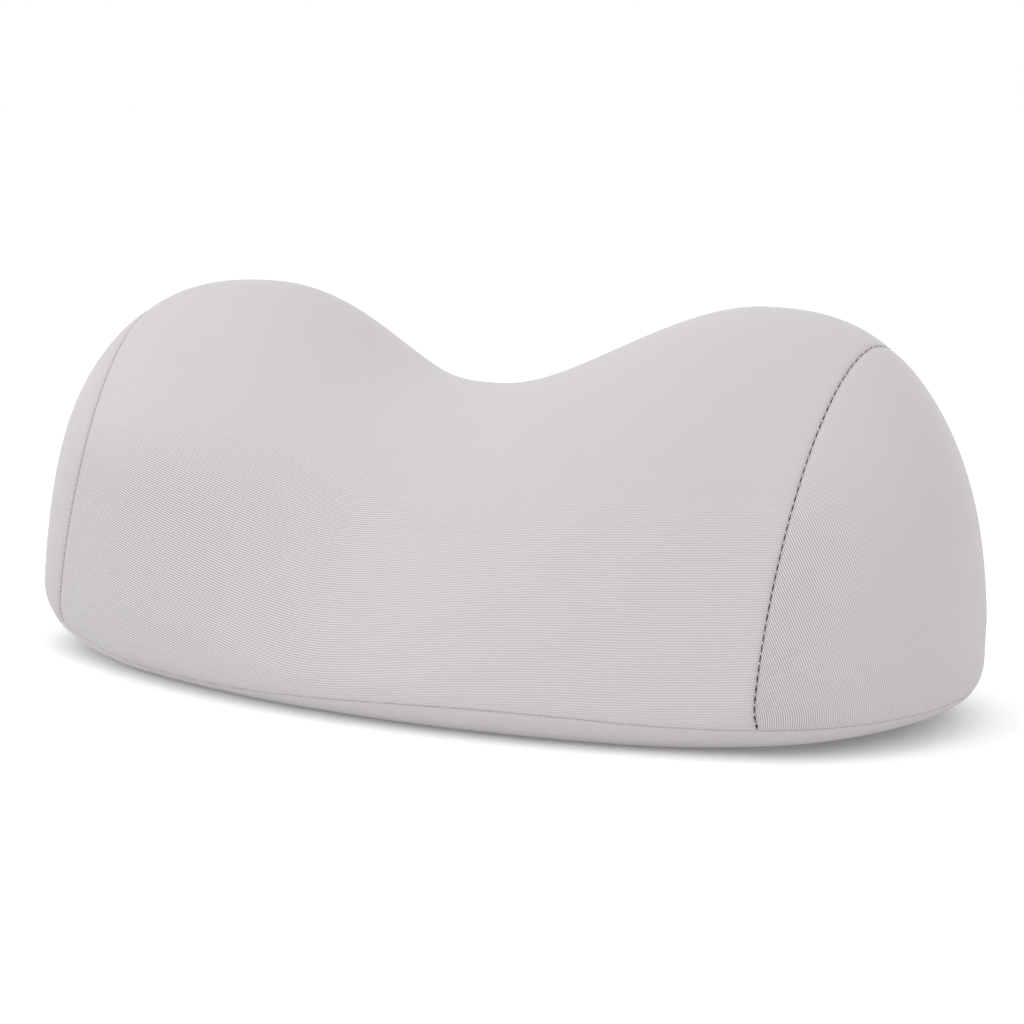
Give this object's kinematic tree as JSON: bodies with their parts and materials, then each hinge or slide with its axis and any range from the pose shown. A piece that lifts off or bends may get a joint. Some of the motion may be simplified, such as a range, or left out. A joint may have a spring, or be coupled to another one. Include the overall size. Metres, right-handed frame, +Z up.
{
  "type": "cervical traction pillow",
  "caption": "Saddle-shaped foam neck traction pillow with two humps, a neck valley, a fitted knit cover and a coil zip along the back.",
  "frame": {"origin": "middle of the flat base, on the surface that the pillow stands on", "axes": "+X along the pillow, across the user's neck; -Y towards the front, away from the zip; +Z up, from the base to the crest"},
  "size_m": [0.3218, 0.16, 0.1166],
  "materials": {
    "cover_knit": "fine ribbed knit, very matte",
    "liner_knit": "thin plain knit, matte",
    "memory_foam": "slow-recovery polyurethane foam, matte, fine open cells",
    "seam_thread": "twisted polyester thread",
    "zip_tape": "woven polyester tape",
    "zip_coil": "nylon coil, slightly glossy",
    "zip_metal": "painted zinc, satin",
    "care_label": "white satin ribbon, blank"
  },
  "bodies": {
    "pillow": {"foam_core": "memory_foam", "liner_top": "liner_knit", "liner_base": "liner_knit", "main_panel": "cover_knit", "left_end_panel": "cover_knit", "right_end_panel": "cover_knit", "base_panel": "cover_knit", "left_seam_thread": "seam_thread", "right_seam_thread": "seam_thread", "base_seam_thread": "seam_thread", "zip_upper_tape": "zip_tape", "zip_lower_tape": "zip_tape", "zip_upper_coil": "zip_coil", "zip_lower_coil": "zip_coil", "zip_upper_top_stop": "zip_metal", "zip_lower_top_stop": "zip_metal", "zip_bottom_stop": "zip_metal", "care_label": "care_label"},
    "zip_slider": {"zip_slider_body": "zip_metal"},
    "zip_pull": {"zip_pull_tab": "zip_metal"}
  },
  "joints": [
    {"name": "zip_travel", "type": "hinge", "parent": "pillow", "child": "zip_slider", "pos_m": [0, -0.28405, 0.019], "axis": [0, 0, -1], "range_deg": [0, 23]},
    {"name": "pull_tab_flip", "type": "hinge", "parent": "zip_slider", "child": "zip_pull", "pos_m": [-0.07292, 0.07426, 0.019], "axis": [0, 0, 1], "range_deg": [0, 178]}
  ]
}
